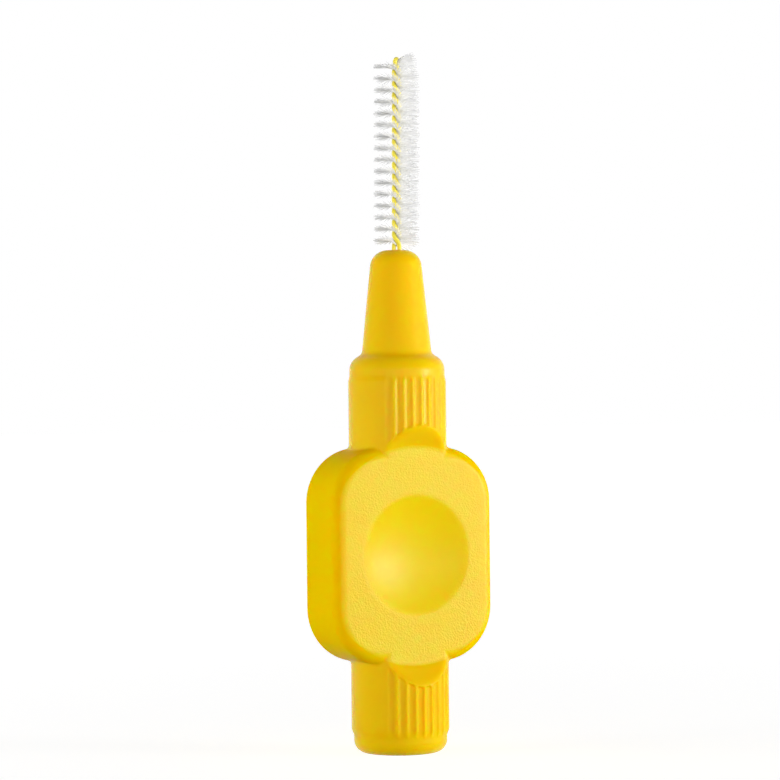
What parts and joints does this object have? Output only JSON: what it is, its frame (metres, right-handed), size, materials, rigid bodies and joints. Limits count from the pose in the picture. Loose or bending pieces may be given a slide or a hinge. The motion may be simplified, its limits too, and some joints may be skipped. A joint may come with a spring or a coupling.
{
  "type": "interdental brush",
  "caption": "Interdental brush: moulded grip with a dished thumb pad, ribbed sleeves and a tapered neck, and a twisted coated wire that holds a round nylon brush.",
  "frame": {"origin": "centre of the grip's flat end", "axes": "+Z along the wire towards its tip, +X across the thumb pad, -Y out of the pad's front face"},
  "size_m": [0.0152, 0.0084, 0.0591],
  "materials": {
    "grip_plastic": "satin moulded polypropylene with a fine grain on the flat faces",
    "wire_coat": "thin plastic coat on steel wire",
    "filament": "translucent white nylon filament"
  },
  "bodies": {
    "root": {"handle": "grip_plastic", "twisted_wire": "wire_coat", "bristle_row_01": "filament", "bristle_row_02": "filament", "bristle_row_03": "filament", "bristle_row_04": "filament", "bristle_row_05": "filament", "bristle_row_06": "filament", "bristle_row_07": "filament", "bristle_row_08": "filament", "bristle_row_09": "filament", "bristle_row_10": "filament", "bristle_row_11": "filament", "bristle_row_12": "filament", "bristle_row_13": "filament", "bristle_row_14": "filament", "bristle_row_15": "filament", "bristle_row_16": "filament"}
  },
  "joints": []
}
